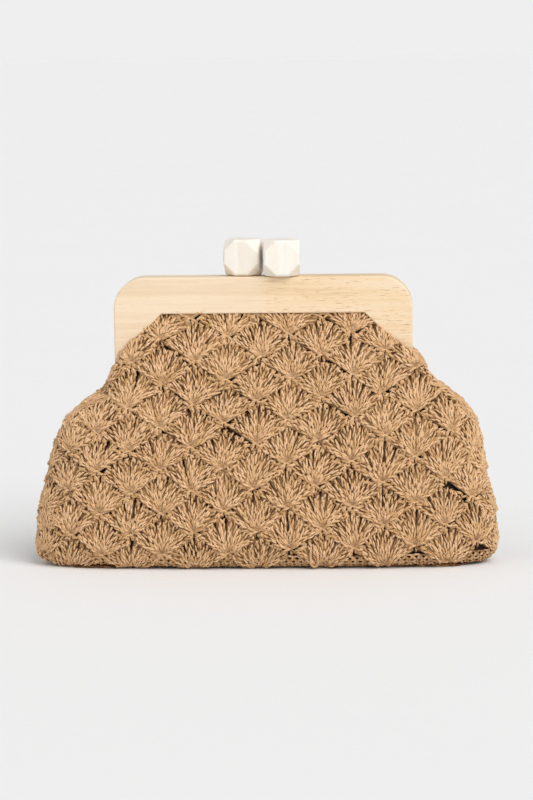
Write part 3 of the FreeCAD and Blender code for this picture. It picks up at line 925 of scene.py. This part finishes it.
def oval_sheet(name, half, depth, square, height, thickness, material, rings=10, columns=96):
    """A flat oval of cloth with rounded ends, worked in rings round its middle, with a real thickness."""
    turn = np.arange(columns) * 2 * pi / columns
    x = half * np.sin(turn)
    y = -depth * np.sign(np.cos(turn)) * np.sqrt(np.maximum(1 - np.abs(np.sin(turn)) ** square, 0))
    places = [(0.0, 0.0, height)]
    for ring in range(1, rings + 1):
        share = ring / rings
        places += [(share * a, share * b, height) for a, b in zip(x, y)]
    faces = []
    for k in range(columns):
        after = (k + 1) % columns
        faces.append((0, 1 + k, 1 + after))
        for ring in range(rings - 1):
            a = 1 + ring * columns
            faces.append((a + k, a + columns + k, a + columns + after, a + after))
    return thickened(name, sheet_mesh(name, places, faces, places), thickness, material)


def thickened(name, mesh, thickness, material):
    """A piece from a sheet, with its thickness added behind its faces and no modifier left."""
    mesh.polygons.foreach_set("use_smooth", [True] * len(mesh.polygons))
    piece = new_piece(name, mesh, material)
    solid = piece.modifiers.new("Thickness", "SOLIDIFY")
    solid.thickness = thickness
    solid.offset = -1.0
    made = bpy.data.meshes.new_from_object(piece.evaluated_get(bpy.context.evaluated_depsgraph_get()))
    piece.modifiers.clear()
    piece.data = made
    bpy.data.meshes.remove(mesh)
    made.name = name
    return piece


class PurseCrochetSettings(bpy.types.PropertyGroup):
    pitch: length_property("Shell Pitch", "Distance between neighbouring shells in a row", 0.0423)
    row_height: length_property("Row Height", "Distance from one row of shells to the next", 0.01458)
    first_row: length_property("First Row", "How far up the side the first whole row grows from", 0.0104)
    row_shift: length_property("Row Shift", "From the middle to a shell of the first row", -0.0263)
    row_tilt: number_property("Row Tilt", "How much the rows rise to the right", 0.033)
    shell_height: length_property("Shell Height", "Height of one shell", 0.0260)
    posts: count_property("Posts per Shell", "Double crochets in one shell", 12, 3)
    spread: angle_property("Shell Spread", "Angle between a shell's outermost posts", 112.0)
    head_reach: length_property("Head Reach", "Half the length of the loop on top of a post", 0.0026)
    straw: length_property("Straw Thickness", "Diameter of the twisted straw", 0.0021)
    sink: length_property("Sink", "How far the straw lies behind the purse's outer face", 0.0012)
    ripple: length_property("Ripple", "How far the work wanders from a perfect lattice", 0.0009)
    kinds: count_property("Kinds", "Different stitches to choose from", 10, 1)
    seed: count_property("Seed", "Fixes every random choice", 7)
    blend_low: length_property("Bend Start", "Height where the crochet starts to follow the frame", 0.085)
    blend_high: length_property("Bend End", "Height where the crochet wholly follows the frame", 0.140)
    straw_light: colour_property("Straw Highlights", "Lightest tone of the straw", (0.750, 0.497, 0.292))
    straw_body: colour_property("Straw", "Middle tone of the straw", (0.525, 0.310, 0.138))
    # The colour of the painted shade on strands that lie deep in the work.
    straw_painted_shade: colour_property("Straw Painted Shade", "Painted shade multiplied onto strands deep in the work", (0.27, 0.14, 0.05))
    # The darkest tone of the straw: partly the straw's own darker streaks, partly the painted shade of
    # strands whose tone is set low.
    straw_dark: colour_property("Straw Shade", "Darkest tone of the straw", (0.085, 0.028, 0.005))


class PurseFrameSettings(bpy.types.PropertyGroup):
    wood_light: colour_property("Wood", "Lightest tone of the frame", (0.815, 0.655, 0.470))
    wood_warm: colour_property("Warm Streaks", "Tone of the frame's warm streaks", (0.80, 0.60, 0.375))
    wood_dark: colour_property("Wood Shade", "Darkest tone of the frame", (0.62, 0.42, 0.225))
    bead_pale: colour_property("Beads", "Tone of the beads", (0.85, 0.805, 0.735))


class PurseLiningSettings(bpy.types.PropertyGroup):
    lining: colour_property("Lining", "Colour of the lining", (0.060, 0.034, 0.020))
    # The backing is a dark cloth behind the crochet, darker than the lining: its near-black tone also paints
    # the shade seen through the gaps between strands.
    backing: colour_property("Backing", "Colour of the cloth behind the crochet", (0.030, 0.017, 0.009))
    behind: length_property("Backing Depth", "How far the backing lies behind the crochet's face", 0.0030)
    inside: length_property("Lining Depth", "How far the lining lies behind the crochet's face", 0.0044)
    thickness: length_property("Cloth Thickness", "Thickness of the cloth", 0.0006)


class PurseStageSettings(bpy.types.PropertyGroup):
    floor_pale: colour_property("Floor", "Colour of the floor", (0.842, 0.842, 0.842))
    horizon: number_property("Horizon", "Brightness behind the purse", 0.862)
    sky: number_property("Sky", "Brightness from above", 0.45)
    key: number_property("Key Light", "Strength of the main light", 2.3)
    fill: number_property("Fill Light", "Strength of the second light", 0.4)
    azimuth: angle_property("Azimuth", "Camera direction round the purse", 3.0)
    elevation: angle_property("Elevation", "Camera height above the horizon", 7.0)
    roll: angle_property("Roll", "Camera roll", -0.75)
    distance: length_property("Distance", "From the camera to the purse", 2.024)
    aim: bpy.props.FloatVectorProperty(
        name="Aim", description="The point that the camera looks at", default=(0.0012, 0.0, 0.1113),
        subtype="XYZ", unit="LENGTH")
    lens: number_property("Lens", "Focal length in millimetres", 135.0)


SETTINGS = {"purse_crochet": PurseCrochetSettings, "purse_frame": PurseFrameSettings,
            "purse_lining": PurseLiningSettings, "purse_stage": PurseStageSettings}


def finish_nodes(material, *names):
    """Gives CAD nodes a finish."""
    for name in names:
        finished(frame["nodes"][name].data, material)


class PURSE_OT_frame(bpy.types.Operator):
    """Gives both wooden frame halves their grain"""
    bl_idname = "purse.frame"
    bl_label = "Wooden Frame"

    def execute(self, context):
        finish_nodes(frame_wood_finish(context.scene.purse_frame), *(f"{name}_frame" for name in SIDES))
        return {"FINISHED"}


class PURSE_OT_beads(bpy.types.Operator):
    """Gives both faceted beads their bleached wood"""
    bl_idname = "purse.beads"
    bl_label = "Bead Clasp"

    def execute(self, context):
        finish_nodes(bead_wood_finish(context.scene.purse_frame), *(f"{name}_bead" for name in SIDES))
        return {"FINISHED"}


class PURSE_OT_hardware(bpy.types.Operator):
    """Gives the studs, hinges, cords and base board their finishes"""
    bl_idname = "purse.hardware"
    bl_label = "Hardware"

    def execute(self, context):
        steel = ["hinge_pin_left", "hinge_pin_right"]
        for name in SIDES:
            steel += [f"{name}_bead_stud", f"{name}_hinge_screws", f"{name}_hinge_leaf_left",
                      f"{name}_hinge_leaf_right"]
        finish_nodes(steel_finish(), *steel)
        finish_nodes(paper_cord_finish(), *(f"{name}_mouth_cord" for name in SIDES))
        finish_nodes(board_finish(), "base_board")
        return {"FINISHED"}


class PURSE_OT_crochet_sides(bpy.types.Operator):
    """Crochets the front and the back in rows of shells"""
    bl_idname = "purse.crochet_sides"
    bl_label = "Crochet Sides"

    def execute(self, context):
        settings = context.scene.purse_crochet
        straw = straw_finish(settings)
        posts = stitch_kinds("post", shell_post, settings, settings.kinds)
        feet = stitch_kinds("foot", shell_foot, settings, 5)
        sides, places = shell_places(settings)
        for index, (name, side) in enumerate(sides.items()):
            seed = settings.seed * 100 + index * 10
            shells = stitched(f"{name}_shells", places[name], posts, straw, seed, stitches=settings.posts,
                              spread=settings.spread, unevenness=0.14, lift=0.7 * MM)
            knots = stitched(f"{name}_knots", places[name], feet, straw, seed + 5, unevenness=0.1)
            both = bmesh.new()
            both.from_mesh(shells)
            both.from_mesh(knots)
            both.to_mesh(shells)
            both.free()
            bpy.data.meshes.remove(knots)
            wrapped(shells, side, seed, settings.sink, settings.ripple)
            pieces = parted(shells, f"crochet_{name}", straw, PART_HEIGHTS)
            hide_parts("crochet_pouch")
            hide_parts(f"crochet_{name}_panel")
            for piece in pieces:
                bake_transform(piece)
        remove_kinds(posts)
        remove_kinds(feet)
        return {"FINISHED"}


class PURSE_OT_crochet_base(bpy.types.Operator):
    """Crochets the flat oval base and the tight rows round its rim"""
    bl_idname = "purse.crochet_base"
    bl_label = "Crochet Base"

    def execute(self, context):
        settings = context.scene.purse_crochet
        straw = bpy.data.materials["twisted_paper_straw"]
        kinds = stitch_kinds("row_stitch", row_stitch, settings, 6)
        places = []
        for ring in range(BASE_RINGS):
            depth, half = BASE_DEPTH - ring * STITCH_ROW, BASE_HALF - ring * STITCH_ROW
            straight, bend = 2 * (half - depth), pi * depth
            total = 2 * (straight + bend)
            count = int(total / STITCH_SPACING)
            for i in range(count):
                run = (i + 0.5 * (ring % 2)) * total / count
                part, along = (0, run) if run < straight + bend else (pi, run - straight - bend)
                if along < straight:
                    x, y, turn = along - straight / 2, -depth, pi
                else:
                    angle = (along - straight) / depth
                    x, y, turn = straight / 2 + depth * sin(angle), -depth * cos(angle), pi - angle
                x, y = (x, y) if part == 0 else (-x, -y)
                places.append([x, y, 0.0, turn - part, 1.0])
        mesh = stitched("base", places, kinds, straw, settings.seed)
        flat = coordinates(mesh)
        # The flat depth is kept for the straw's painted shade on strands lying deep in the work.
        mesh.attributes.new("depth", "FLOAT", "POINT").data.foreach_set("value", flat[:, 2].copy())
        flat = flat * (1, -1, -1) + (0, 0, BASE_HEIGHT)
        flat[:, 2] = np.maximum(flat[:, 2], FLOOR_CLEARANCE)
        mesh.vertices.foreach_set("co", flat.ravel())
        base = new_piece("crochet_base_rows", mesh, straw)
        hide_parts("crochet_base")
        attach(base, "pouch")
        for index, name in enumerate(SIDES):
            side = Side(name)
            places = []
            for up in RIM_ROWS:
                edge = side.edge_at(up)
                count = int(2 * edge / STITCH_SPACING)
                for i in range(count):
                    across = -edge + (i + 0.5) * 2 * edge / count
                    places.append([across, up, RIM_OUT, 0.0, 1.0])
            mesh = stitched("rim", places, kinds, straw, settings.seed + 3 + index, unevenness=0.25)
            wrapped(mesh, side, settings.seed + 40 + index, settings.sink, settings.ripple)
            rim = new_piece(f"crochet_rim_{name}", mesh, straw)
            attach(rim, "pouch")
        remove_kinds(kinds)
        return {"FINISHED"}


class PURSE_OT_loose_loop(bpy.types.Operator):
    """Hangs the one loop of straw that has slipped out at the lower edge"""
    bl_idname = "purse.loose_loop"
    bl_label = "Loose Loop"

    def execute(self, context):
        settings = context.scene.purse_crochet
        straw = Straw(31)
        stops = np.arange(len(LOOP_ROUTE))
        t = np.linspace(0, stops[-1], 22)
        path = np.stack([np.interp(t, stops, column) for column in LOOP_ROUTE.T], axis=1)
        path[1:-1] = (path[:-2] + 2 * path[1:-1] + path[2:]) / 4
        straw.tube(path, 0.45 * settings.straw, taper=0.9)
        mesh = straw.mesh("loose_loop")
        wrapped(mesh, Side("front"), 1, settings.sink, 0.0)
        loop = new_piece("loose_loop", mesh, bpy.data.materials["twisted_paper_straw"])
        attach(loop, "pouch")
        return {"FINISHED"}


class PURSE_OT_lining(bpy.types.Operator):
    """Cuts the backing cloth behind the crochet, whose near-black tone paints the shade in the gaps, and the
    lining inside it
    """
    bl_idname = "purse.lining"
    bl_label = "Lining"

    def execute(self, context):
        cloth = context.scene.purse_lining
        backing = cloth_finish("backing_cloth", tuple(cloth.backing))
        lining = cloth_finish("lining_cotton", tuple(cloth.lining))
        for name in SIDES:
            outer = Side(name)
            inner = Side(name, lining_sections(cloth.inside))
            low = float(np.interp(LINING_FLOOR, inner.height, inner.up))
            # The backing's near-black tone is painted shade in the gaps between the strands, as well as a
            # dark cloth.
            behind = cloth_between(outer, f"backing_{name}", -cloth.behind, cloth.thickness,
                                   outer.low + 3 * MM, outer.top - 2 * MM, backing, reach=2 * MM)
            inside = cloth_between(inner, f"lining_{name}", 0.0, cloth.thickness,
                                   low, inner.top, lining, wave=LINING_WAVE, seed=11)
            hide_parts(f"lining_{name}_panel")
            for piece, side in ((behind, outer), (inside, inner)):
                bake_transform(piece)
        columns = inner.table.T[[0, 2, 4]]
        depth, half, square = [float(np.interp(LINING_FLOOR, inner.height, column)) for column in columns]
        floor = oval_sheet("lining_floor", half, depth, square, LINING_FLOOR, cloth.thickness, lining)
        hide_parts("lining_pouch")
        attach(floor, "pouch")
        return {"FINISHED"}


class PURSE_OT_stage(bpy.types.Operator):
    """Sets up the pale floor, the soft light and the camera"""
    bl_idname = "purse.stage"
    bl_label = "Stage"

    def execute(self, context):
        scene, stage = context.scene, context.scene.purse_stage
        mesh = bpy.data.meshes.new("floor")
        reach = 40.0
        corners = [(-reach, -reach, 0), (reach, -reach, 0), (reach, reach, 0), (-reach, reach, 0)]
        mesh.from_pydata(corners, [], [(0, 1, 2, 3)])
        floor = new_piece("floor", mesh, floor_finish(stage))
        world = scene.world or bpy.data.worlds.new("studio")
        scene.world = world
        world.use_nodes = True
        nodes, links = world.node_tree.nodes, world.node_tree.links
        upwards = nodes.new("ShaderNodeSeparateXYZ")
        links.new(nodes.new("ShaderNodeTexCoord").outputs["Generated"], upwards.inputs[0])
        fade = nodes.new("ShaderNodeMapRange")
        fade.interpolation_type = "SMOOTHSTEP"
        links.new(upwards.outputs["Z"], fade.inputs["Value"])
        values = {"From Min": 0.02, "From Max": 0.40, "To Min": stage.horizon, "To Max": stage.sky}
        for key, value in values.items():
            fade.inputs[key].default_value = value
        links.new(fade.outputs[0], nodes["Background"].inputs["Strength"])
        nodes["Background"].inputs["Color"].default_value = (1.0, 1.0, 1.0, 1.0)
        for name, power, tilt, around, softness in (("key", stage.key, 48.0, 38.0, 45.0),
                                                    ("fill", stage.fill, 55.0, -60.0, 60.0)):
            light = bpy.data.lights.new(name, "SUN")
            light.energy = power
            light.angle = radians(softness)
            lamp = bpy.data.objects.new(name, light)
            lamp.rotation_euler = Euler((radians(tilt), 0, radians(around)))
            scene.collection.objects.link(lamp)
        lens = bpy.data.cameras.new("camera")
        lens.lens, lens.sensor_width = stage.lens, 36.0
        camera = bpy.data.objects.new("camera", lens)
        a, e = stage.azimuth, stage.elevation
        back = Vector((sin(a) * cos(e), -cos(a) * cos(e), sin(e)))
        camera.location = Vector(stage.aim) + back * stage.distance
        facing = (-back).to_track_quat("-Z", "Y").to_matrix().to_4x4()
        camera.rotation_euler = (facing @ Euler((0, 0, stage.roll)).to_matrix().to_4x4()).to_euler()
        scene.collection.objects.link(camera)
        scene.camera = camera
        scene.view_settings.view_transform = "Standard"
        return {"FINISHED"}


OPERATORS = (PURSE_OT_frame, PURSE_OT_beads, PURSE_OT_hardware, PURSE_OT_crochet_sides, PURSE_OT_crochet_base,
             PURSE_OT_loose_loop, PURSE_OT_lining, PURSE_OT_stage)


class PURSE_PT_panel(bpy.types.Panel):
    """Lists the purse's pieces and their settings"""
    bl_idname = "PURSE_PT_panel"
    bl_label = "Clutch Purse"
    bl_space_type = "VIEW_3D"
    bl_region_type = "UI"
    bl_category = "Purse"

    def draw(self, context):
        for operator in OPERATORS:
            self.layout.operator(operator.bl_idname)
        for name in SETTINGS:
            group = getattr(context.scene, name)
            box = self.layout.box()
            for key in group.__annotations__:
                box.prop(group, key)


def register():
    for kind in (*SETTINGS.values(), *OPERATORS, PURSE_PT_panel):
        bpy.utils.register_class(kind)
    for name, kind in SETTINGS.items():
        setattr(bpy.types.Scene, name, bpy.props.PointerProperty(type=kind))


def unregister():
    for name in SETTINGS:
        delattr(bpy.types.Scene, name)
    for kind in reversed((*SETTINGS.values(), *OPERATORS, PURSE_PT_panel)):
        bpy.utils.unregister_class(kind)


def main():
    register()
    for operator in OPERATORS:
        group, name = operator.bl_idname.split(".")
        getattr(getattr(bpy.ops, group), name)()


if __name__ == "__main__":
    main()
